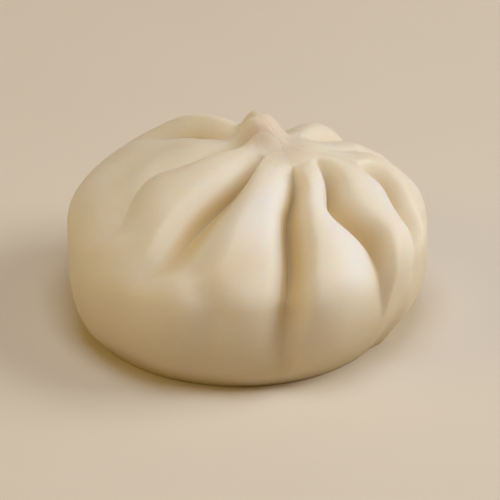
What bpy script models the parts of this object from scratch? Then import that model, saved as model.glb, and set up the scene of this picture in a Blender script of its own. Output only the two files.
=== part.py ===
"""A steamed bun (baozi): one piece of soft dough, gathered into pleats that meet in a pinch on top.

The bun is one closed solid. Its skin is a sphere's net of rings and meridians, and each of its points
is placed by one function of two numbers: a share of the way down from the pinch to the edge of the
base, and a place between two creases. Every crease and every edge of a hollow is one meridian of the
net, so both keep their place exactly.

Frame: metres, +Z up. The origin is on the surface that the bun rests on, under the middle of its box.
-Y is the side with the three deepest creases, and +X is the side that the pinch leans to.
"""

import math
from dataclasses import dataclass

import bmesh
import bpy
import numpy as np

MM = 0.001

# Driving sizes of the plain bun, before its creases.
BELLY_RADIUS = 34.2 * MM
BELLY_HEIGHT = 18.0 * MM
BASE_RADIUS = 27.8 * MM
TOP_HEIGHT = 34.5 * MM
LEAN_X = 7.6 * MM
LEAN_Y = 3.3 * MM
LEAN_POWER = 2.6

# The dome above the belly is close to a superellipse: more fullness is a rounder shoulder, and more
# point is a steeper crown.
SHOULDER_FULLNESS = 1.75
CROWN_POINT = 0.33


@dataclass
class Crease:
    """One crease, and the fold on its right.

    near, upper, flank, belly: its azimuth at four places on the way down, in degrees from -Y towards
    +X. start, end: where it begins and fades out, as shares of the way down. depth: how deep it is.
    hollow: width of the slope on its right, which grows as far down as the share wide. lip: width of
    the roll on its left. tilt: the part of its depth that the fold on its left loses by leaning
    towards it. crest: how far the fold on its right stands out from the plain bun on the shoulder, on
    the belly and at the foot. taper: the part of its width that the hollow loses below the shoulder.
    Depth, widths and crest are in millimetres.
    """

    near: float
    upper: float
    flank: float
    belly: float
    start: float
    end: float
    depth: float
    hollow: float
    wide: float
    lip: float
    tilt: float
    crest: tuple
    taper: float = 0.0


CREASES = (
    Crease(-120, -132, -132, -132, 0.08, 0.58, 2.2, 7.0, wide=0.3, lip=6.0, tilt=0.45, crest=(0, 0.6, -2.2)),
    Crease(-90, -86, -62, -84, 0.06, 0.45, 1.4, 7.0, wide=0.34, lip=7.0, tilt=0.45, crest=(0.6, -1.2, 1.6)),
    Crease(-36.5, -38, -35, -44, 0.08, 0.68, 6.0, 17.0, wide=0.5, lip=5.0, tilt=0.25, crest=(0.4, 0.4, 1.3)),
    Crease(20, 11, 12.5, 13.5, 0.13, 0.95, 6.4, 4.4, wide=0.26, lip=5.0, tilt=0.66, crest=(0.8, 0.8, 1.3)),
    Crease(
        60, 39.5, 49.5, 49.5, 0.14, 0.80, 5.8, 6.6,
        wide=0.26, lip=4.5, tilt=0.58, crest=(0.2, 0.5, 0.9), taper=0.55,
    ),
    Crease(86, 87, 73, 67, 0.28, 0.75, 3.7, 4.5, wide=0.34, lip=5.0, tilt=0.50, crest=(-0.2, -0.8, 3.3)),
    Crease(106, 116, 114, 112, 0.34, 0.72, 2.4, 5.0, wide=0.34, lip=4.0, tilt=0.45, crest=(-2.9, -2.0, -0.2)),
    Crease(142, 146, 142, 140, 0.14, 0.74, 3.4, 6.0, wide=0.34, lip=5.0, tilt=0.45, crest=(-3.7, -0.1, 0.0)),
    Crease(178, 174, 172, 170, 0.12, 0.68, 3.2, 6.0, wide=0.34, lip=5.0, tilt=0.45, crest=(-5.8, -0.8, 0.0)),
    Crease(206, 206, 203, 201, 0.10, 0.76, 3.8, 6.0, wide=0.34, lip=5.0, tilt=0.45, crest=(1.5, 1.2, 0.1)),
)

# Shares of the way down where the four azimuths hold, and where the crest heights are reached.
AZIMUTH_SHARES = (0.14, 0.34, 0.54, 0.72)
CREST_SHARES = (0.02, 0.34, 0.62, 0.88)

# Along its length a crease opens soon after its start and closes slowly. Near the pinch its depth is
# held to a share of the radius, so that the folds don't meet under the skin.
OPENING_SKEW = 0.70
OPENING_POWER = 1.2
DEPTH_TO_RADIUS = 0.40
HARD_LIMIT_POWER = 3

# Its bottom is soft for a length after its start, and again from a share of its own way down.
SOFT_START_LENGTH = 0.15
SOFT_END_START = 0.50
SOFT_END_LENGTH = 0.35
SOFT_WIDENING = 0.3
LEAST_SOFTNESS = 0.3

# Across a crease: the slope on its right widens as it opens and ends in an edge that is rounded over a
# part of its width, and the lip on its left rolls over it. The fold before it leans down gently at first.
EDGE_ROUNDING = 0.3
TILT_POWER = 1.5
HOLLOW_POWER = 0.7
HOLLOW_LEAST = 0.35
HOLLOW_GROWTH = 1.6
TAPER_START = 0.34
TAPER_LENGTH = 0.28
LIP_ROUNDNESS = 1.7
LEAST_HOLLOW, MOST_HOLLOW, MOST_LIP = 0.12, 0.6, 0.4
LIP_OVERHANG = 0.10
FOLD_SWELL = 1.2 * MM
FULL_SWELL_DEPTH = 4.0 * MM

# Where one limit takes over from another, the two blend: a higher power is a tighter blend.
BLEND_POWER = 4

# The gathered cap round the pinch: faint ripples, a small well, and the nub that stands up behind it.
RIPPLE_DEPTH = 0.06 * MM
RIPPLE_RADIUS = 9.0 * MM
WELL_DEPTH = 0.7 * MM
WELL_RADIUS = 4.0 * MM
NUB_HEIGHT = 5.1 * MM
NUB_RADIUS = 3.9 * MM
NUB_AZIMUTH = math.radians(-134)
NUB_DISTANCE = 4.5 * MM

# A shallow channel that forks off from the left front crease and runs down the broad front fold. It has
# swung over from the first azimuth to the second after a part of its way.
FORK_DEPTH = 1.6 * MM
FORK_WIDTH = 4.0 * MM
FORK_AZIMUTHS = (math.radians(-26), math.radians(-12))
FORK_SHARES = (0.46, 0.94)
FORK_SWING = 0.5

# The net: columns across each fold and how many of them lie on its hollow, rings from the pinch to the
# edge of the base, and how far the columns crowd towards the creases and the rings towards both ends.
FOLD_COLUMNS = 12
HOLLOW_COLUMNS = 4
RINGS = 48
COLUMN_CROWDING = 0.6
RING_CROWDING = 0.45
OUTLINE_SAMPLES = 800
SLOPE_STEP = 0.004

DOUGH_COLOUR = (0.80, 0.71, 0.56, 1.0)
DOUGH_ROUGHNESS = 0.45


def outline():
    """The plain bun's outline as arrays: share of its length from the pinch, radius and height."""
    turn = np.linspace(0, math.pi / 2, OUTLINE_SAMPLES)
    dome_radius = BELLY_RADIUS * np.sin(turn) ** (2 / SHOULDER_FULLNESS)
    # The power eases to 1 at the belly, where the dome then meets the foot without an edge.
    dome_rise = (TOP_HEIGHT - BELLY_HEIGHT) * np.cos(turn) ** (1 + CROWN_POINT * np.cos(turn))
    foot = np.linspace(0, 1, OUTLINE_SAMPLES)
    foot_radius = BELLY_RADIUS - (BELLY_RADIUS - BASE_RADIUS) * foot**2
    foot_height = BELLY_HEIGHT * (1 - foot)
    radius = np.concatenate([dome_radius, foot_radius[1:]])
    height = np.concatenate([BELLY_HEIGHT + dome_rise, foot_height[1:]])
    steps = np.hypot(np.diff(radius), np.diff(height))
    length = np.concatenate([[0], np.cumsum(steps)])
    return length / length[-1], radius, height


SHARES, RADII, HEIGHTS = outline()


def on_outline(share):
    """Radius, height and outward direction of the plain bun at a share of the way down."""
    radius, height = np.interp(share, SHARES, RADII), np.interp(share, SHARES, HEIGHTS)
    low, high = max(share - SLOPE_STEP, 0), min(share + SLOPE_STEP, 1)
    run = np.interp(high, SHARES, RADII) - np.interp(low, SHARES, RADII)
    drop = np.interp(low, SHARES, HEIGHTS) - np.interp(high, SHARES, HEIGHTS)
    size = math.hypot(run, drop)
    return radius, height, drop / size, run / size


def smooth_step(x):
    """A smooth climb from 0 at 0 to 1 at 1, level outside."""
    x = min(max(x, 0.0), 1.0)
    return x * x * (3 - 2 * x)


def soft_max(a, b):
    """Close to the greater of two numbers from 0 up, without the edge where they are equal."""
    return (a**BLEND_POWER + b**BLEND_POWER) ** (1 / BLEND_POWER)


def soft_min(a, b):
    """Close to the lesser of two numbers from 0 up, without the edge where they are equal."""
    return a * b / soft_max(a, b)


def crease_azimuth(crease, share):
    """A smooth line through the crease's four azimuths, in degrees."""
    azimuths = (crease.near, crease.upper, crease.flank, crease.belly)
    azimuth = crease.near
    for place in range(len(azimuths) - 1):
        low, high = AZIMUTH_SHARES[place : place + 2]
        azimuth += (azimuths[place + 1] - azimuths[place]) * smooth_step((share - low) / (high - low))
    return azimuth


def opening(crease, share):
    """How far open a crease is, from 0 to 1."""
    along = min(max((share - crease.start) / (crease.end - crease.start), 0.0), 1.0)
    return max(math.sin(math.pi * along**OPENING_SKEW), 0.0) ** OPENING_POWER


def crease_depth(crease, share, radius):
    """Depth of a crease, with the faint ripples near the pinch, as far as the radius has room."""
    wanted = crease.depth * MM * opening(crease, share)
    wanted += RIPPLE_DEPTH * math.exp(-((radius / RIPPLE_RADIUS) ** 4))
    if wanted == 0 or radius == 0:
        return 0.0
    over = wanted / (DEPTH_TO_RADIUS * radius)
    return wanted / (1 + over**HARD_LIMIT_POWER) ** (1 / HARD_LIMIT_POWER)


def crease_softness(crease, share):
    """How rounded a crease is: hardly along its middle, and fully at both of its ends."""
    fading = smooth_step((share / crease.end - SOFT_END_START) / SOFT_END_LENGTH)
    beginning = 1 - smooth_step((share - crease.start) / SOFT_START_LENGTH)
    return max(fading, beginning)


def rounded(x):
    """A smooth fall from 1 at 0 to 0 at 1."""
    return (1 + math.cos(math.pi * x)) / 2


def rounded_ramp(x):
    """An even fall from 1 at 0 to 0 at 1, with its corner there rounded by a short parabola."""
    left = 1 - x
    if abs(left) < EDGE_ROUNDING:
        return (left + EDGE_ROUNDING) ** 2 / (4 * EDGE_ROUNDING)
    return max(left, 0.0)


def hollow_fall(x, softness):
    """Share of the depth on the slope right of a crease: a ramp with a rounded edge, or a soft fall."""
    ramp = rounded_ramp(x)
    return ramp + (rounded(min(x, 1.0)) - ramp) * max(softness, LEAST_SOFTNESS)


def lip_fall(x, softness):
    """Share of the depth on the lip left of a crease: a round that rolls under, or a soft fall."""
    x = min(x, 1.0)
    roll = 1 - (1 - (1 - x) ** LIP_ROUNDNESS) ** (1 / LIP_ROUNDNESS)
    return roll + (rounded(x) - roll) * softness


def hollow_width(crease, share, softness):
    """Width of the slope right of a crease: it widens as the crease opens, and may taper further down."""
    widening = (1 + SOFT_WIDENING * softness) * soft_max(opening(crease, share) ** HOLLOW_POWER, HOLLOW_LEAST)
    widening *= soft_min((share / crease.wide) ** HOLLOW_GROWTH, 1.0)
    widening *= 1 - crease.taper * smooth_step((share - TAPER_START) / TAPER_LENGTH)
    return crease.hollow * MM * widening


def fold_level(share, fold, across):
    """How far the dough stands out from the plain bun here, before the creases are cut into it."""
    before, own, after = (CREASES[(fold + turn) % len(CREASES)].crest for turn in (-1, 0, 1))
    to_left, to_right = 1 - smooth_step(2 * across), 1 - smooth_step(2 - 2 * across)
    level = previous = 0.0
    for place, middle in enumerate(own):
        height = middle + to_left * (before[place] - middle) / 2 + to_right * (after[place] - middle) / 2
        low, high = CREST_SHARES[place : place + 2]
        level += (height - previous) * smooth_step((share - low) / (high - low))
        previous = height
    return level * MM


def cap_rise(radius, azimuth):
    """Height that the well in the pinch takes away, and that the nub behind it adds."""
    ahead = radius * math.cos(azimuth - NUB_AZIMUTH) - NUB_DISTANCE
    aside = radius * math.sin(azimuth - NUB_AZIMUTH)
    nub = NUB_HEIGHT * math.exp(-((math.hypot(ahead, aside) / NUB_RADIUS) ** 3))
    return nub - WELL_DEPTH * math.exp(-((radius / WELL_RADIUS) ** 2))


def fork_depth(share, radius, azimuth):
    """Depth of the forked channel, which swings from one azimuth to another on its way down."""
    along = (share - FORK_SHARES[0]) / (FORK_SHARES[1] - FORK_SHARES[0])
    line = FORK_AZIMUTHS[0] + (FORK_AZIMUTHS[1] - FORK_AZIMUTHS[0]) * smooth_step(along / FORK_SWING)
    window = math.sin(math.pi * min(max(along, 0.0), 1.0)) ** 2
    return FORK_DEPTH * window * math.exp(-(((azimuth - line) * radius / FORK_WIDTH) ** 2))


def crowded(x, crowding):
    """Moves even steps from 0 to 1 closer together near both ends."""
    return x - crowding * math.sin(2 * math.pi * x) / (2 * math.pi)


def across_fold(column, slope):
    """Where a column of the net lies across its fold, from 0 to 1, with one column on the hollow's edge."""
    if column <= HOLLOW_COLUMNS:
        return slope * column / HOLLOW_COLUMNS
    rest = (column - HOLLOW_COLUMNS) / (FOLD_COLUMNS - HOLLOW_COLUMNS)
    return slope + (1 - slope) * crowded(rest, COLUMN_CROWDING)


def dough_point(share, fold, column):
    """A point of the skin: a share of the way down, on a column of the net in fold number fold."""
    left, right = CREASES[fold], CREASES[(fold + 1) % len(CREASES)]
    start = crease_azimuth(left, share)
    width = math.radians((crease_azimuth(right, share) - start) % 360)
    radius, height, out, up = on_outline(share)
    left_depth, left_softness = crease_depth(left, share, radius), crease_softness(left, share)
    right_depth, right_softness = crease_depth(right, share, radius), crease_softness(right, share)

    # The widths of the hollow and of the lip, as shares of the fold's own width here.
    fold_width = max(width * radius, 0.001 * MM)
    slope = hollow_width(left, share, left_softness) / fold_width
    slope = soft_min(soft_max(slope, LEAST_HOLLOW), MOST_HOLLOW)
    across = across_fold(column, slope)
    azimuth = math.radians(start) + width * across
    lip = soft_min(right.lip * MM * (1 + SOFT_WIDENING * right_softness) / fold_width, MOST_LIP)

    sunk = left_depth * hollow_fall(across / slope, left_softness)
    sunk += right_depth * right.tilt * max((across - slope) / (1 - slope), 0.0) ** TILT_POWER
    sunk += right_depth * (1 - right.tilt) * lip_fall((1 - across) / lip, right_softness)
    sunk += fork_depth(share, radius, azimuth)
    swell = FOLD_SWELL * math.sin(math.pi * across)
    swell *= soft_min(1.0, (left_depth + right_depth) / FULL_SWELL_DEPTH)
    moved = fold_level(share, fold, across) + cap_rise(radius, azimuth) + swell - sunk
    overhang = LIP_OVERHANG * right_depth * (1 - right_softness)
    overhang *= math.sin(math.pi * min((1 - across) / (2 * lip), 1.0))

    reach = radius + moved * out
    lean = (height / TOP_HEIGHT) ** LEAN_POWER
    x = LEAN_X * lean + reach * math.sin(azimuth) + overhang * math.cos(azimuth)
    y = LEAN_Y * lean - reach * math.cos(azimuth) + overhang * math.sin(azimuth)
    return x, y, height + moved * up * min(1.0, height / BELLY_HEIGHT)


def build_bun():
    """Shapes a sphere's net into the bun, and puts its origin under the middle of its box."""
    columns = FOLD_COLUMNS * len(CREASES)
    bm = bmesh.new()
    bmesh.ops.create_uvsphere(bm, u_segments=columns, v_segments=RINGS + 1, radius=1)
    for vert in bm.verts:
        ring = round(math.acos(min(max(vert.co.z, -1), 1)) / math.pi * (RINGS + 1))
        column = round(math.atan2(vert.co.y, vert.co.x) / (2 * math.pi) * columns) % columns
        if ring > RINGS:
            vert.co = (0, 0, 0)
            continue
        fold, step = divmod(column, FOLD_COLUMNS)
        share = crowded(ring / RINGS, RING_CROWDING)
        vert.co = dough_point(share, fold, step)
    middle = [
        (min(vert.co[axis] for vert in bm.verts) + max(vert.co[axis] for vert in bm.verts)) / 2
        for axis in (0, 1)
    ]
    bmesh.ops.translate(bm, verts=bm.verts, vec=(-middle[0], -middle[1], 0))
    bmesh.ops.triangulate(bm, faces=bm.faces)
    mesh = bpy.data.meshes.new("bun")
    bm.to_mesh(mesh)
    bm.free()
    mesh.shade_smooth()
    return bpy.data.objects.new("bun", mesh)


def dough():
    """Steamed wheat dough: ivory, with a dull shine where it is still moist."""
    material = bpy.data.materials.new("dough")
    material.use_nodes = True
    shader = material.node_tree.nodes["Principled BSDF"]
    shader.inputs["Base Color"].default_value = DOUGH_COLOUR
    shader.inputs["Roughness"].default_value = DOUGH_ROUGHNESS
    shader.inputs["Metallic"].default_value = 0.0
    return material


def main():
    for old in list(bpy.data.objects):
        bpy.data.objects.remove(old)
    bun = build_bun()
    bun.data.materials.append(dough())
    bpy.context.scene.collection.objects.link(bun)


main()
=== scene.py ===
# %% [markdown]
# # A steamed bun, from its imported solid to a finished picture
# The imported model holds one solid, `bun`, at its real size, in metres. It is right in its main shapes but
# faceted, and it has one flat colour. This lesson computes the same dough surface on a much finer net,
# adds what the solid leaves out (small wrinkles, soft dents, pores, colour), and lights it.
# Loading comes first, and the box of the solid is kept, because the fine surface has to stay inside it.

import math

import bpy
import numpy as np
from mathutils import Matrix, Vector


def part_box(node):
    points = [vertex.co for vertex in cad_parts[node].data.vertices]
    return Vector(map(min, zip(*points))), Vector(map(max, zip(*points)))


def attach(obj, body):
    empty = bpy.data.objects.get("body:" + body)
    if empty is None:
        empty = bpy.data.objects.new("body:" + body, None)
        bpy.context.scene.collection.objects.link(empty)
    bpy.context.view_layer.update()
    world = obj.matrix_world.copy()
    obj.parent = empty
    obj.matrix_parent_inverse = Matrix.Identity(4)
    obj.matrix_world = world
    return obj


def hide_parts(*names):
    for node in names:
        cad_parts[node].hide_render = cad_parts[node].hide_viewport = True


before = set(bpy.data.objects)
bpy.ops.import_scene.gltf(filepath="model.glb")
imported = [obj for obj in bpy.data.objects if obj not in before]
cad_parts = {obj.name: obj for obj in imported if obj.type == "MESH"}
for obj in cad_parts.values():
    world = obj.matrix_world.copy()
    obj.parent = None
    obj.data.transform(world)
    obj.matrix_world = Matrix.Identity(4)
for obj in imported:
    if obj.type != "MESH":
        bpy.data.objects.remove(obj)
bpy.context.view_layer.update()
BUN_LOW, BUN_HIGH = (np.array(corner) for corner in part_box("bun"))
MM = 0.001
TINY = 0.001 * MM
print("bun, mm:", np.round((BUN_HIGH - BUN_LOW) / MM, 1))

# %% [markdown]
# ## The plain bun
# Without its pleats the bun is a dome on a foot, and its pinch leans to one side. One outline describes
# it: a superellipse from the pinch down to the widest ring, a little more pointed at the crown, and a
# parabola from there to the base. Such an outline could be drawn by hand as a curve, but as two formulas
# it stays tied to a few real sizes, such as the widest radius and the height of the pinch.
# Every later function takes `share`, the share of the outline's length from the pinch, 0, to the base, 1.

# %% The outline of the plain bun
BELLY_RADIUS, BELLY_HEIGHT = 34.2 * MM, 18.0 * MM
BASE_RADIUS, TOP_HEIGHT = 27.8 * MM, 34.5 * MM
LEAN_X, LEAN_Y, LEAN_POWER = 7.6 * MM, 3.3 * MM, 2.6
SHOULDER_FULLNESS, CROWN_POINT = 1.75, 0.33
OUTLINE_SAMPLES, SLOPE_STEP = 800, 0.004


def outline():
    """Radius is the belly's times sin(turn) to 2/fullness. The height over the belly is the dome's rise
    times cos(turn) to a power that eases to 1 at the belly. Below, the radius shrinks with the square
    of the way down."""
    turn = np.linspace(0, math.pi / 2, OUTLINE_SAMPLES)
    foot = np.linspace(0, 1, OUTLINE_SAMPLES)[1:]
    dome_radius = BELLY_RADIUS * np.sin(turn) ** (2 / SHOULDER_FULLNESS)
    power = 1 + CROWN_POINT * np.cos(turn)
    dome_height = BELLY_HEIGHT + (TOP_HEIGHT - BELLY_HEIGHT) * np.cos(turn) ** power
    foot_radius = BELLY_RADIUS - (BELLY_RADIUS - BASE_RADIUS) * foot**2
    radius = np.concatenate([dome_radius, foot_radius])
    height = np.concatenate([dome_height, BELLY_HEIGHT * (1 - foot)])
    length = np.concatenate([[0], np.cumsum(np.hypot(np.diff(radius), np.diff(height)))])
    return length / length[-1], radius, height


SHARES, RADII, HEIGHTS = outline()


def on_outline(share):
    """Radius, height and outward direction: the slope between two points a small step up and down."""
    low, high = np.maximum(share - SLOPE_STEP, 0), np.minimum(share + SLOPE_STEP, 1)
    run = np.interp(high, SHARES, RADII) - np.interp(low, SHARES, RADII)
    drop = np.interp(low, SHARES, HEIGHTS) - np.interp(high, SHARES, HEIGHTS)
    size = np.hypot(run, drop)
    radius, height = np.interp(share, SHARES, RADII), np.interp(share, SHARES, HEIGHTS)
    return radius, height, drop / size, run / size


print("outline, mm: belly", RADII.max() / MM, "top", HEIGHTS.max() / MM)

# %% [markdown]
# ## The creases
# A cook turns the bun and pinches the rim of the dough, fold after fold, so each fold is pulled under the
# next. Each crease is a valley with a different wall on each side: a broad slope, the hollow, on its
# right, and a lip on its left that rolls over it. Ten creases could be ten cutters or brush strokes. Here
# they are ten rows of a table, and every value in a row is something to measure on a real bun.

# %% The table of creases
# near, upper, flank, belly: azimuths in degrees from -Y towards +X. start, end: shares of the way down.
# depth, hollow, lip, and the fold's crest on the shoulder, on the belly and at the foot: millimetres.
# wide: the share where the hollow reaches its full width. taper: the part of it lost again on the belly.
# tilt: the part of the depth by which the whole fold slopes towards its lip.
COLUMNS = "near upper flank belly start end depth hollow wide taper lip tilt crest_1 crest_2 crest_3".split()
CREASES = np.array(
    [
        (-120, -132, -132, -132, 0.08, 0.58, 2.2, 7.0, 0.30, 0.00, 6.0, 0.45, 0.0, 0.6, -2.2),
        (-90, -86, -62, -84, 0.06, 0.45, 1.4, 7.0, 0.34, 0.00, 7.0, 0.45, 0.6, -1.2, 1.6),
        (-36.5, -38, -35, -44, 0.08, 0.68, 6.0, 17.0, 0.50, 0.00, 5.0, 0.25, 0.4, 0.4, 1.3),
        (20, 11, 12.5, 13.5, 0.13, 0.95, 6.4, 4.4, 0.26, 0.00, 5.0, 0.66, 0.8, 0.8, 1.3),
        (60, 39.5, 49.5, 49.5, 0.14, 0.80, 5.8, 6.6, 0.26, 0.55, 4.5, 0.58, 0.2, 0.5, 0.9),
        (86, 87, 73, 67, 0.28, 0.75, 3.7, 4.5, 0.34, 0.00, 5.0, 0.50, -0.2, -0.8, 3.3),
        (106, 116, 114, 112, 0.34, 0.72, 2.4, 5.0, 0.34, 0.00, 4.0, 0.45, -2.9, -2.0, -0.2),
        (142, 146, 142, 140, 0.14, 0.74, 3.4, 6.0, 0.34, 0.00, 5.0, 0.45, -3.7, -0.1, 0.0),
        (178, 174, 172, 170, 0.12, 0.68, 3.2, 6.0, 0.34, 0.00, 5.0, 0.45, -5.8, -0.8, 0.0),
        (206, 206, 203, 201, 0.10, 0.76, 3.8, 6.0, 0.34, 0.00, 5.0, 0.45, 1.5, 1.2, 0.1),
    ]
)
FOLDS = len(CREASES)
NEAR_SHARE, UPPER_SHARE, FLANK_SHARE, BELLY_SHARE = 0.14, 0.34, 0.54, 0.72
CREST_SHARES = (0.02, 0.34, 0.62, 0.88)


def crease(name, index):
    """One column of the table for whole arrays of crease numbers, which wrap round the bun."""
    return CREASES[index % FOLDS, COLUMNS.index(name)]


def smooth_step(x):
    """3 x squared minus 2 x cubed, level below 0 and above 1."""
    x = np.clip(x, 0, 1)
    return x * x * (3 - 2 * x)


def crease_azimuth(index, share):
    """The azimuth near the pinch, and on the way down a smooth step to each of the next three."""
    near, upper, flank, belly = (crease(name, index) for name in ("near", "upper", "flank", "belly"))
    first = smooth_step((share - NEAR_SHARE) / (UPPER_SHARE - NEAR_SHARE))
    second = smooth_step((share - UPPER_SHARE) / (FLANK_SHARE - UPPER_SHARE))
    third = smooth_step((share - FLANK_SHARE) / (BELLY_SHARE - FLANK_SHARE))
    return near + (upper - near) * first + (flank - upper) * second + (belly - flank) * third


print(FOLDS, "creases, deepest", CREASES[:, COLUMNS.index("depth")].max(), "mm")

# %% [markdown]
# ## Along a crease and across it
# Along its length a crease opens fast and closes slowly, which is half a sine wave over a bent scale.
# Across it, the hollow is an even ramp that ends in a rounded edge, and the lip is a full round, as dough
# bulges where it is folded. Near the pinch and at its far end a crease is soft, so both walls blend there
# into a rounded fall. The depth is held to a share of the radius: folds at the pinch have little room.
# Limits like this one set in gently, because soft dough shows no edge where a crease stops widening.

# %% Walls of a crease
OPENING_SKEW, OPENING_POWER = 0.70, 1.2
DEPTH_TO_RADIUS, HARD_LIMIT_POWER = 0.40, 3
SOFT_START_LENGTH, SOFT_END_START, SOFT_END_LENGTH = 0.15, 0.50, 0.35
HOLLOW_POWER, HOLLOW_LEAST, EDGE_ROUNDING, TILT_POWER = 0.7, 0.35, 0.3, 1.5
SOFT_WIDENING, LEAST_SOFTNESS, LIP_ROUNDNESS = 0.3, 0.3, 1.7
HOLLOW_GROWTH, TAPER_START, TAPER_LENGTH = 1.6, 0.34, 0.28
LEAST_HOLLOW, MOST_HOLLOW, MOST_LIP, LIP_OVERHANG = 0.12, 0.6, 0.4, 0.10
FOLD_SWELL, FULL_SWELL_DEPTH, BLEND_POWER = 1.2 * MM, 4.0 * MM, 4
RIPPLE_DEPTH, RIPPLE_RADIUS, RIPPLE_STEEPNESS = 0.06 * MM, 9.0 * MM, 4


def soft_max(a, b):
    """The fourth root of the sum of the fourth powers: the greater one, without an edge."""
    return (a**BLEND_POWER + b**BLEND_POWER) ** (1 / BLEND_POWER)


def soft_min(a, b):
    """The product over the soft greater one: the lesser one, without an edge."""
    return a * b / soft_max(a, b)


def opening(index, share):
    """The sine of pi times the bent way along the crease: 0 at both ends and 1 where it is widest."""
    start, end = crease("start", index), crease("end", index)
    along = np.clip((share - start) / (end - start), 0, 1)
    return np.sin(math.pi * along**OPENING_SKEW).clip(0) ** OPENING_POWER


def crease_depth(index, share, radius):
    """The wanted depth over the cube root of one plus its cubed ratio to the room at that radius."""
    wanted = crease("depth", index) * MM * opening(index, share)
    wanted = wanted + RIPPLE_DEPTH * np.exp(-((radius / RIPPLE_RADIUS) ** RIPPLE_STEEPNESS))
    over = wanted / np.maximum(DEPTH_TO_RADIUS * radius, TINY)
    return wanted / (1 + over**HARD_LIMIT_POWER) ** (1 / HARD_LIMIT_POWER)


def crease_softness(index, share):
    """One near the start and the end of a crease and 0 between, by two smooth steps."""
    fading = smooth_step((share / crease("end", index) - SOFT_END_START) / SOFT_END_LENGTH)
    beginning = 1 - smooth_step((share - crease("start", index)) / SOFT_START_LENGTH)
    return np.maximum(fading, beginning)


def rounded_ramp(x):
    """One minus x above 0, and 0 beyond, with a short parabola over the corner between the two."""
    left = 1 - x
    corner = (left + EDGE_ROUNDING) ** 2 / (4 * EDGE_ROUNDING)
    return np.where(left > EDGE_ROUNDING, left, np.where(left > -EDGE_ROUNDING, corner, 0))


def hollow_fall(x, softness):
    """A ramp with a rounded edge, mixed with a cosine fall, the more of it where the crease is soft."""
    cosine = (1 + np.cos(math.pi * np.minimum(x, 1))) / 2
    ramp = rounded_ramp(x)
    return ramp + (cosine - ramp) * np.maximum(softness, LEAST_SOFTNESS)


def lip_fall(x, softness):
    """One minus the height of a quarter superellipse, mixed with a cosine fall where it is soft."""
    x = np.minimum(x, 1)
    roll = 1 - (1 - (1 - x) ** LIP_ROUNDNESS) ** (1 / LIP_ROUNDNESS)
    return roll + ((1 + np.cos(math.pi * x)) / 2 - roll) * softness


print("a crease is widest at", round(0.5 ** (1 / OPENING_SKEW), 2), "of its length")

# %% [markdown]
# ## The fold between two creases
# Each fold stands out from the plain bun by its own amount: the folds at the back sag, and the one that
# ends in the nub stands proud. The heights are reached on the shoulder, on the belly and at the foot, and
# each fold's height blends into its neighbour's at the crease, so no step shows there. Near the pinch a
# small well is pressed in, and behind it stands the nub, the twisted tail of the last pleat.

# %% Heights of the folds and of the nub
WELL_DEPTH, WELL_RADIUS = 0.7 * MM, 4.0 * MM
NUB_HEIGHT, NUB_RADIUS, NUB_STEEPNESS = 5.1 * MM, 3.9 * MM, 3
NUB_AZIMUTH, NUB_DISTANCE = math.radians(-134), 4.5 * MM


def fold_level(share, fold, across):
    """The fold's own crest height, and half way to its neighbour's at either crease, carried from one
    of the three heights to the next by smooth steps of the share."""
    to_left, to_right = 1 - smooth_step(2 * across), 1 - smooth_step(2 - 2 * across)
    level = previous = 0
    for place, name in enumerate(("crest_1", "crest_2", "crest_3")):
        before, middle, after = (crease(name, fold + turn) for turn in (-1, 0, 1))
        height = middle + to_left * (before - middle) / 2 + to_right * (after - middle) / 2
        low, high = CREST_SHARES[place : place + 2]
        level = level + (height - previous) * smooth_step((share - low) / (high - low))
        previous = height
    return level * MM


def cap_rise(radius, azimuth):
    """A steep bell round the nub's centre, minus a Gauss bell round the pinch."""
    ahead = radius * np.cos(azimuth - NUB_AZIMUTH) - NUB_DISTANCE
    aside = radius * np.sin(azimuth - NUB_AZIMUTH)
    nub = NUB_HEIGHT * np.exp(-((np.hypot(ahead, aside) / NUB_RADIUS) ** NUB_STEEPNESS))
    return nub - WELL_DEPTH * np.exp(-((radius / WELL_RADIUS) ** 2))


print("nub, mm: height", NUB_HEIGHT / MM, "radius", NUB_RADIUS / MM)

# %% [markdown]
# ## Small relief
# Small relief makes dough look like dough, and the solid leaves most of it out. Fine wrinkles run out from
# the pinch, where the skin is bunched. Soft dents a centimetre wide cover the flanks, because dough rises
# unevenly, and a thumb has left a broad shallow mark in the front fold. The channel that forks off the left
# front crease is in the solid too, and comes from the same sizes here. Sculpting would do, but sums of sine
# waves give the same skin on every run. Their phases come from a seeded generator.

# %% Sizes of the small relief
WRINKLE_DEPTH, WRINKLES, WRINKLE_RADIUS = 0.02 * MM, 46, 8.5 * MM
WRINKLE_DRIFT, DRIFT_RADIUS, BROAD_WRINKLES = 2.2, 3.1 * MM, 0.7
DENT_DEPTH, DENT_WAVES, DENT_SEED, DENT_LENGTHS = 0.26 * MM, 14, 7, (9 * MM, 20 * MM)
THUMB_DEPTH, THUMB_AZIMUTH, THUMB_SHARE = 0.9 * MM, math.radians(-10), 0.53
# The last thumb size is how strongly painted shade darkens the thumb mark's hollow.
THUMB_WIDTH, THUMB_LENGTH, THUMB_SHADE = 8.0 * MM, 0.12, 0.45
FORK_DEPTH, FORK_WIDTH = 1.6 * MM, 4.0 * MM
FORK_AZIMUTHS, FORK_SHARES, FORK_SWING = (-26, -12), (0.46, 0.94), 0.5


def dents(x, y, z):
    """A sum of plane sine waves through space, each with its own direction, length and phase."""
    random = np.random.default_rng(DENT_SEED)
    total = 0
    for _ in range(DENT_WAVES):
        direction = random.normal(size=3)
        direction /= np.linalg.norm(direction)
        wave = 2 * math.pi / random.uniform(*DENT_LENGTHS)
        phase = random.uniform(0, 2 * math.pi)
        total = total + np.sin(wave * (direction[0] * x + direction[1] * y + direction[2] * z) + phase)
    return DENT_DEPTH * total / math.sqrt(DENT_WAVES)


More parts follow.
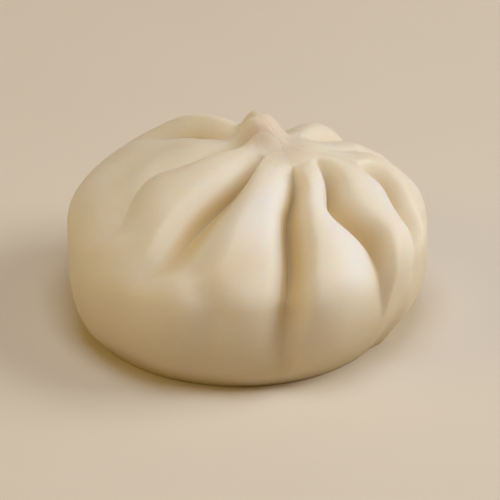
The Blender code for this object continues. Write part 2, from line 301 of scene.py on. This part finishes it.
def wrinkles(radius, azimuth):
    """Two sine waves round the pinch that drift with the radius, inside a ring-shaped window."""
    drift = WRINKLE_DRIFT * np.sin(radius / DRIFT_RADIUS)
    broad = BROAD_WRINKLES * np.sin(WRINKLES / 2 * azimuth - drift + 1)
    waves = np.sin(WRINKLES * azimuth + drift) + broad
    window = (radius / WRINKLE_RADIUS) ** 2 * np.exp(1 - (radius / WRINKLE_RADIUS) ** 2)
    return WRINKLE_DEPTH * waves * window * smooth_step(radius / (WRINKLE_RADIUS / 2))


def thumb_mark(share, radius, azimuth):
    """The product of two Gauss bells, one round the bun and one down it: a soft hollow in the front fold."""
    aside = (azimuth - THUMB_AZIMUTH) * radius / THUMB_WIDTH
    return np.exp(-(aside**2) - ((share - THUMB_SHARE) / THUMB_LENGTH) ** 2)


def fork(share, radius, azimuth):
    """A Gauss channel across a line that swings from one azimuth to another on its way down."""
    along = (share - FORK_SHARES[0]) / (FORK_SHARES[1] - FORK_SHARES[0])
    high, low = np.radians(FORK_AZIMUTHS)
    aside = (azimuth - high - (low - high) * smooth_step(along / FORK_SWING)) * radius
    window = np.sin(math.pi * np.clip(along, 0, 1)) ** 2
    return -FORK_DEPTH * window * np.exp(-((aside / FORK_WIDTH) ** 2))


print("small relief, mm:", WRINKLE_DEPTH / MM, DENT_DEPTH / MM, THUMB_DEPTH / MM, FORK_DEPTH / MM)

# %% [markdown]
# ## One function for the whole skin
# All of the above meets in one function: a share of the way down, a fold's number and a place across the
# fold go in, and points in space come out, for the whole grid at once. It also returns a painted-shade mask
# that grows with how deep in a crease each point lies, a painted-highlight mask near a crest, and how far
# each point lies from the pinch: the colour follows all three.


# %% The skin
HOLLOW_PART, COLUMN_CROWDING, SETTLED_HEIGHT = 1 / 3, 0.6, 4.0 * MM
# Sizes of the painted shade in the creases and of the painted highlight on the crests.
DARKEST_DEPTH, WHITEST_DEPTH = 4.0 * MM, 4.5 * MM
SHADE_WIDTH, SHADE_STEEPNESS, LIP_SHADE_RATIO = 6.0 * MM, 4, 3.0


def crowded(x, crowding):
    """x minus a part of one sine wave, so that even steps close up near 0 and near 1."""
    return x - crowding * np.sin(2 * math.pi * x) / (2 * math.pi)


def across_fold(place, slope):
    """The first third of the columns spreads evenly over the hollow, and the rest over the fold."""
    rest = slope + (1 - slope) * crowded((place - HOLLOW_PART) / (1 - HOLLOW_PART), COLUMN_CROWDING)
    return np.where(place < HOLLOW_PART, slope * place / HOLLOW_PART, rest)


def skin(share, fold, place):
    """The plain bun's point, moved along its outward direction by level, swell, cap and small relief
    less the depth of both creases, leant over by its height, and its lips pushed sideways."""
    start = crease_azimuth(fold, share)
    width = np.radians((crease_azimuth(fold + 1, share) - start) % 360)
    radius, height, out, up = on_outline(share)
    left_depth, right_depth = (crease_depth(fold + turn, share, radius) for turn in (0, 1))
    left_soft, right_soft = (crease_softness(fold + turn, share) for turn in (0, 1))

    fold_width = np.maximum(width * radius, TINY)
    widening = soft_max(opening(fold, share) ** HOLLOW_POWER, HOLLOW_LEAST) * (1 + SOFT_WIDENING * left_soft)
    widening = widening * soft_min((share / crease("wide", fold)) ** HOLLOW_GROWTH, 1)
    widening = widening * (1 - crease("taper", fold) * smooth_step((share - TAPER_START) / TAPER_LENGTH))
    slope = soft_max(crease("hollow", fold) * MM * widening / fold_width, LEAST_HOLLOW)
    slope = soft_min(slope, MOST_HOLLOW)
    across = across_fold(place, slope)
    azimuth = np.radians(start) + width * across
    lip = crease("lip", fold + 1) * MM * (1 + SOFT_WIDENING * right_soft)
    lip = soft_min(lip / fold_width, MOST_LIP)

    sunk = left_depth * hollow_fall(across / slope, left_soft)
    tilt = crease("tilt", fold + 1)
    leant = tilt * np.clip((across - slope) / (1 - slope), 0, 1) ** TILT_POWER
    sunk = sunk + right_depth * (leant + (1 - tilt) * lip_fall((1 - across) / lip, right_soft))
    swell = FOLD_SWELL * np.sin(math.pi * across)
    swell = swell * soft_min(1, (left_depth + right_depth) / FULL_SWELL_DEPTH)
    moved = fold_level(share, fold, across) + cap_rise(radius, azimuth) + swell - sunk
    overhang = LIP_OVERHANG * right_depth * (1 - right_soft)
    overhang = overhang * np.sin(math.pi * np.minimum((1 - across) / (2 * lip), 1))

    settled = smooth_step(height / SETTLED_HEIGHT)
    plain_x, plain_y = radius * np.sin(azimuth), -radius * np.cos(azimuth)
    relief = dents(plain_x, plain_y, height) + wrinkles(radius, azimuth) + fork(share, radius, azimuth)
    thumb = thumb_mark(share, radius, azimuth)
    moved = moved + (relief - THUMB_DEPTH * thumb) * settled

    reach = radius + moved * out
    lean = (height / TOP_HEIGHT) ** LEAN_POWER
    x = LEAN_X * lean + reach * np.sin(azimuth) + overhang * np.cos(azimuth)
    y = LEAN_Y * lean - reach * np.cos(azimuth) + overhang * np.sin(azimuth)
    z = height + moved * up * np.minimum(1, height / BELLY_HEIGHT)
    # Painted shade: gold in each crease, strongest where it is deep and near its line, and in the thumb mark.
    from_line = np.minimum(across, LIP_SHADE_RATIO * (1 - across)) * fold_width
    crease_shade = np.clip(sunk / DARKEST_DEPTH, 0, 1) * np.exp(-((from_line / SHADE_WIDTH) ** SHADE_STEEPNESS))
    crease_shade = np.maximum(crease_shade, THUMB_SHADE * thumb)
    # Painted highlight: a white band along each fold's crest, where the crease beside it is deep.
    crest_highlight = np.sin(math.pi * across**2) ** 2 * (1 - thumb)
    crest_highlight = crest_highlight * smooth_step(np.minimum(left_depth, right_depth) / WHITEST_DEPTH)
    return np.stack([x, y, z], axis=-1), crease_shade, crest_highlight, np.broadcast_to(radius, across.shape)


# %% [markdown]
# ## From a grid to a closed mesh
# The grid has rings from the pinch to the edge of the base and columns round the bun. Columns crowd
# towards the creases, where the surface turns fastest. The last column joins the first, the pinch is one
# point with a fan of triangles, and the base carries on as smaller rings to a point in its middle, so
# the mesh is closed with nothing doubled. Index arithmetic on whole arrays gives all faces at once. The
# small relief reaches out a little, so the points are fitted into the solid's box at the end.

# %% Grid and mesh
FOLD_COLUMNS, RINGS, BASE_RINGS, RING_CROWDING = 54, 166, 8, 0.45


def closed_rings(rings, top, bottom):
    """Vertices and faces of stacked rings with a point at either end: quads between rings, fans at the
    ends. Column c of a quad is followed by column c + 1, and the last by the first."""
    count, columns = rings.shape[:2]
    vertices = np.concatenate([rings.reshape(-1, 3), [top, bottom]])
    upper, right = np.meshgrid(np.arange(count - 1) * columns, np.arange(columns), indexing="ij")
    following = (right + 1) % columns
    quads = np.stack(
        [upper + right, upper + columns + right, upper + columns + following, upper + following], axis=-1
    ).reshape(-1, 4)
    column = np.arange(columns)
    last = (count - 1) * columns
    top_fan = np.stack([np.full(columns, count * columns), column, (column + 1) % columns], axis=-1)
    lowest = np.full(columns, count * columns + 1)
    base_fan = np.stack([last + (column + 1) % columns, last + column, lowest], axis=-1)
    return vertices, quads, np.concatenate([top_fan, base_fan])


def mesh_from(name, vertices, quads, triangles):
    """A mesh from arrays: corner indices and face starts go in with foreach_set."""
    mesh = bpy.data.meshes.new(name)
    mesh.vertices.add(len(vertices))
    mesh.vertices.foreach_set("co", vertices.astype(np.float32).ravel())
    corners = np.concatenate([quads.ravel(), triangles.ravel()]).astype(np.int32)
    sizes = np.concatenate([np.full(len(quads), 4), np.full(len(triangles), 3)])
    mesh.loops.add(len(corners))
    mesh.loops.foreach_set("vertex_index", corners)
    mesh.polygons.add(len(sizes))
    mesh.polygons.foreach_set("loop_start", (np.cumsum(sizes) - sizes).astype(np.int32))
    mesh.update(calc_edges=True)
    mesh.validate()
    mesh.shade_smooth()
    return mesh


# %% Build the dough
columns = np.arange(FOLDS * FOLD_COLUMNS)
fold, step = np.divmod(columns, FOLD_COLUMNS)
share = crowded(np.arange(1, RINGS + 1)[:, None] / RINGS, RING_CROWDING)
points, crease_shade, crest_highlight, from_pinch = skin(share, fold[None, :], step[None, :] / FOLD_COLUMNS)
pinch = skin(np.zeros((1, 1)), np.zeros((1, 1), int), np.zeros((1, 1)))[0][0, 0]
low, high = points.min(axis=(0, 1)), points.max(axis=(0, 1))
points, pinch = (BUN_LOW + (part - low) * (BUN_HIGH - BUN_LOW) / (high - low) for part in (points, pinch))
print("rings and columns:", points.shape[:2])

# %% [markdown]
# ## The underside
# Soft dough settles under its own weight while it steams, so the underside is flat. It could be one large
# polygon, but rings that shrink towards the middle give even quads, like those of the flank.

# %% Close the base and make the piece
inward = (1 - np.arange(1, BASE_RINGS) / BASE_RINGS)[:, None, None]
base_middle = points[-1].mean(axis=0) * (1, 1, 0)
base = base_middle + (points[-1][None] - base_middle) * inward
vertices, quads, triangles = closed_rings(np.concatenate([points, base]), pinch, base_middle)
dough = bpy.data.objects.new("dough", mesh_from("dough", vertices, quads, triangles))
bpy.context.scene.collection.objects.link(dough)
# The painted-shade and painted-highlight masks and the distance from the pinch become point attributes.
on_base = np.zeros(base.shape[0] * base.shape[1])
crease_shade_values = np.concatenate([crease_shade.ravel(), on_base, [0.0, 0.0]])
crest_highlight_values = np.concatenate([crest_highlight.ravel(), on_base, [0.0, 0.0]])
pinch_values = np.concatenate([from_pinch.ravel() / MM, on_base + BASE_RADIUS / MM, [0.0, BASE_RADIUS / MM]])
for name, values in (("crease", crease_shade_values), ("crest", crest_highlight_values), ("from_pinch", pinch_values)):
    attribute = dough.data.attributes.new(name, "FLOAT", "POINT")
    attribute.data.foreach_set("value", values.astype(np.float32))
print("dough:", len(dough.data.polygons), "faces")

# %% [markdown]
# ## Shader maths as Python
# A node tree is arithmetic, and arithmetic reads best as arithmetic. The small class below wraps a
# socket, so `1 - mask * 2` adds the Math nodes that work it out. Colours are mixed with Mix nodes,
# because a Math node would turn them grey.


# %% A socket that does sums
class Wire:
    """An output socket whose +, -, * and ** add Math nodes."""

    def __init__(self, shader, socket):
        self.shader, self.socket = shader, socket

    def math(self, operation, *values):
        return self.shader.node("ShaderNodeMath", {"operation": operation}, dict(enumerate(values)))

    def __add__(self, other):
        return self.math("ADD", self, other)

    def __radd__(self, other):
        return self.math("ADD", other, self)

    def __sub__(self, other):
        return self.math("SUBTRACT", self, other)

    def __rsub__(self, other):
        return self.math("SUBTRACT", other, self)

    def __mul__(self, other):
        return self.math("MULTIPLY", self, other)

    def __rmul__(self, other):
        return self.math("MULTIPLY", other, self)

    def __pow__(self, other):
        return self.math("POWER", self, other)


class Shader:
    """A material's node tree, with one method that adds any node."""

    def __init__(self, name):
        self.material = bpy.data.materials.new(name)
        self.material.use_nodes = True
        self.tree = self.material.node_tree
        self.surface = self.tree.nodes["Principled BSDF"]

    def plug(self, target, value):
        if isinstance(value, Wire):
            self.tree.links.new(value.socket, target)
        else:
            target.default_value = value

    def node(self, kind, settings=None, inputs=None, output=0):
        """Adds a node of that type, gives it its settings, then its sockets' values or links."""
        made = self.tree.nodes.new(kind)
        for name, value in (settings or {}).items():
            setattr(made, name, value)
        for name, value in (inputs or {}).items():
            self.plug(made.inputs[name], value)
        return Wire(self, made.outputs[output])

    def mix(self, factor, first, second):
        """A colour between two colours."""
        settings = {"data_type": "RGBA", "clamp_factor": True}
        return self.node("ShaderNodeMix", settings, {0: factor, 6: first, 7: second}, output=2)

    def noise(self, place, scale, detail=3.0, roughness=0.5):
        inputs = {"Vector": place, "Scale": scale, "Detail": detail, "Roughness": roughness}
        return self.node("ShaderNodeTexNoise", {}, inputs)

    def ramp(self, value, low, high):
        """A smooth step of a value between two limits."""
        settings = {"interpolation_type": "SMOOTHSTEP"}
        return self.node("ShaderNodeMapRange", settings, {"Value": value, "From Min": low, "From Max": high})

    def finish(self, values):
        for name, value in values.items():
            self.plug(self.surface.inputs[name], value)
        return self.material


print("shader helpers ready")

# %% [markdown]
# ## Steamed dough
# Steamed dough is nearly white. Light and shade are also painted into its colour: a white painted highlight
# on the crests, and painted shade that makes it creamy tan low on the flank, gold in the creases, where light
# bounces between the folds, and a touch greyer on the cap round the pinch. Light goes a few millimetres into
# it, so its shadows are warm and soft: that is subsurface scattering. The skin has a dull shine with tiny
# pores, and steam leaves faint cloudy patches. Colour follows the attributes that the skin function
# returned, and the pores and patches come from noise on object coordinates, in metres.


# %% Dough material
IVORY, CREAM, PALE_IVORY = (0.885, 0.84, 0.725, 1), (0.855, 0.79, 0.65, 1), (0.92, 0.88, 0.81, 1)
# The ivories and cream are the dough's own tones; the low tan, pinch grey and crease gold are painted shade,
# and the crest white is a painted highlight.
LOW_SHADE_TAN, CREST_HIGHLIGHT_WHITE = (0.585, 0.45, 0.225, 1), (0.96, 0.955, 0.94, 1)
PINCH_SHADE_GREY, CREASE_SHADE_GOLD = (0.70, 0.58, 0.49, 1), (0.735, 0.58, 0.32, 1)
PATCH_SCALE, MOTTLE_SCALE, PORE_SCALE, GRAIN_SCALE = 90.0, 420.0, 900.0, 1600.0
# How much of the colour below each layer covers, and between which values each mask rises.
CREAM_COVER, PALE_COVER, LOW_SHADE_COVER, HIGHLIGHT_COVER, PINCH_SHADE_COVER, CREASE_SHADE_COVER = 0.5, 0.25, 0.80, 0.95, 0.5, 0.85
PATCH_LIMITS, MOTTLE_LIMITS, PIT_LIMITS, CREASE_LIMITS = (0.35, 0.70), (0.30, 0.75), (0.05, 0.32), (0.05, 1.0)
HEIGHT_LIMITS, PINCH_LIMITS = (-4 * MM, 28 * MM), (2.0, 9.0)
GRAIN_RISE, MOTTLE_RISE, PIT_DROP = 0.35, 0.5, 0.25
PORE_DEPTH, BUMP_STRENGTH, SCATTER_DEPTH = 0.12 * MM, 0.25, 2.4 * MM
PLAIN_ROUGHNESS, MOTTLE_ROUGHNESS, PATCH_ROUGHNESS = 0.42, 0.10, 0.06


def dough_material():
    """Ivory mixed with cream, a white painted highlight and tan, grey and gold painted shade by masks, over
    noise for patches, pores and grain.
    """
    shader = Shader("steamed_dough")
    place = shader.node("ShaderNodeTexCoord", output=3)
    height = shader.node("ShaderNodeSeparateXYZ", {}, {"Vector": place}, output=2)
    crease_shade = shader.node("ShaderNodeAttribute", {"attribute_name": "crease"}, output=2)
    crest_highlight = shader.node("ShaderNodeAttribute", {"attribute_name": "crest"}, output=2)
    from_pinch = shader.node("ShaderNodeAttribute", {"attribute_name": "from_pinch"}, output=2)

    patches = shader.ramp(shader.noise(place, PATCH_SCALE), *PATCH_LIMITS)
    mottle = shader.ramp(shader.noise(place, MOTTLE_SCALE, detail=4.0, roughness=0.6), *MOTTLE_LIMITS)
    # Painted shade: tan that deepens towards the base of the flank.
    low_shade = 1 - shader.ramp(height, *HEIGHT_LIMITS)
    # Painted shade: a greyer cap round the pinch.
    pinch_shade = 1 - shader.ramp(from_pinch, *PINCH_LIMITS)

    colour = shader.mix(patches * CREAM_COVER, IVORY, CREAM)
    colour = shader.mix(mottle * PALE_COVER, colour, PALE_IVORY)
    colour = shader.mix(low_shade * LOW_SHADE_COVER, colour, LOW_SHADE_TAN)
    # Painted highlight: white along the crests.
    colour = shader.mix(crest_highlight * HIGHLIGHT_COVER, colour, CREST_HIGHLIGHT_WHITE)
    colour = shader.mix(pinch_shade * PINCH_SHADE_COVER, colour, PINCH_SHADE_GREY)
    # Painted shade: gold in the creases and in the thumb mark.
    colour = shader.mix(shader.ramp(crease_shade, *CREASE_LIMITS) * CREASE_SHADE_COVER, colour, CREASE_SHADE_GOLD)

    pores = shader.node("ShaderNodeTexVoronoi", {"feature": "F1"}, {"Vector": place, "Scale": PORE_SCALE})
    pits = 1 - shader.ramp(pores, *PIT_LIMITS)
    grain = shader.noise(place, GRAIN_SCALE, roughness=0.6)
    skin_height = grain * GRAIN_RISE + mottle * MOTTLE_RISE - pits * PIT_DROP
    bump_inputs = {"Strength": BUMP_STRENGTH, "Distance": PORE_DEPTH, "Height": skin_height}
    return shader.finish(
        {
            "Base Color": colour,
            "Roughness": PLAIN_ROUGHNESS + mottle * MOTTLE_ROUGHNESS + patches * PATCH_ROUGHNESS,
            "Normal": shader.node("ShaderNodeBump", {}, bump_inputs),
            "IOR": 1.45,
            "Coat Weight": 0.06,
            "Coat Roughness": 0.4,
            "Subsurface Weight": 0.85,
            "Subsurface Radius": (1.0, 0.72, 0.45),
            "Subsurface Scale": SCATTER_DEPTH,
        }
    )


dough.data.materials.append(dough_material())
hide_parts("bun")
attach(dough, "root")
print("dough rides on root and stands for the solid")

# %% [markdown]
# ## Floor and light
# The floor is plain and pale, so that nothing competes with the bun. In the picture the bun is lit from
# the right by one broad source and softly from above. A weak warm light from the left and a warm glow all
# round keep the shaded flank creamy. An area light gives the soft edge that a window or a soft box gives.


# %% Stage
FLOOR_HALF, CLOUD_SCALE, CLOUD_COVER, CLOUD_LIMITS = 3.0, 30.0, 0.3, (0.3, 0.7)
FLOOR_PALE, FLOOR_SHADE = (0.80, 0.755, 0.68, 1), (0.77, 0.725, 0.65, 1)
LIGHT_DISTANCE, GLOW_COLOUR, GLOW_STRENGTH = 0.9, (1.0, 0.58, 0.18, 1), 0.18


def floor_material():
    """A pale matt sheet with faint unevenness."""
    shader = Shader("floor")
    place = shader.node("ShaderNodeTexCoord", output=3)
    cloud = shader.ramp(shader.noise(place, CLOUD_SCALE), *CLOUD_LIMITS)
    colour = shader.mix(cloud * CLOUD_COVER, FLOOR_PALE, FLOOR_SHADE)
    return shader.finish({"Base Color": colour, "Roughness": 0.85})


corners = np.array([(-1, -1, 0), (1, -1, 0), (1, 1, 0), (-1, 1, 0)]) * FLOOR_HALF
floor_mesh = mesh_from("floor", corners, np.array([[0, 1, 2, 3]]), np.empty((0, 3), int))
floor = bpy.data.objects.new("floor", floor_mesh)
floor.data.materials.append(floor_material())
bpy.context.scene.collection.objects.link(floor)


def soft_light(name, azimuth, elevation, size, watts, colour):
    """A square area light on a sphere round the bun, turned to face it."""
    data = bpy.data.lights.new(name, "AREA")
    data.size, data.energy, data.color = size, watts, colour
    light = bpy.data.objects.new(name, data)
    a, e = math.radians(azimuth), math.radians(elevation)
    towards = Vector((math.sin(a) * math.cos(e), -math.cos(a) * math.cos(e), math.sin(e)))
    light.location = towards * LIGHT_DISTANCE
    light.rotation_mode = "QUATERNION"
    light.rotation_quaternion = towards.to_track_quat("Z", "Y")
    bpy.context.scene.collection.objects.link(light)


# Name, azimuth and elevation in degrees, size in metres, watts, colour.
soft_light("key", 94, 36, 0.5, 4.1, (0.98, 0.96, 0.90))
soft_light("top", 12, 80, 0.5, 2.7, (0.86, 0.91, 1.02))
soft_light("fill", -75, 34, 0.6, 1.5, (0.96, 0.74, 0.26))
world = bpy.data.worlds.new("world")
bpy.context.scene.world = world
world.use_nodes = True
glow = world.node_tree.nodes["Background"]
glow.inputs["Color"].default_value = GLOW_COLOUR
glow.inputs["Strength"].default_value = GLOW_STRENGTH
bpy.context.scene.view_settings.view_transform = "Standard"
print("stage set")

# %% [markdown]
# ## Camera
# The picture was taken from far away with a long lens, about 30 degrees above the table. A level circle
# shows there as an ellipse half as high as it is wide, and the arcsine of that ratio is the angle. The
# lens length follows from the distance and the width of the view.

# %% Camera
VIEW_ELEVATION, VIEW_DISTANCE, VIEW_WIDTH = math.radians(29.5), 1.4, 0.095
AIM = Vector((0.5 * MM, 0, 13.0 * MM))
camera = bpy.data.objects.new("camera", bpy.data.cameras.new("camera"))
camera.data.lens = camera.data.sensor_width * VIEW_DISTANCE / VIEW_WIDTH
camera.data.clip_end = 20.0
back = Vector((0, -math.cos(VIEW_ELEVATION), math.sin(VIEW_ELEVATION)))
camera.location = AIM + back * VIEW_DISTANCE
camera.rotation_mode = "QUATERNION"
camera.rotation_quaternion = (-back).to_track_quat("-Z", "Y")
bpy.context.scene.collection.objects.link(camera)
bpy.context.scene.camera = camera
print("lens, mm:", round(camera.data.lens))
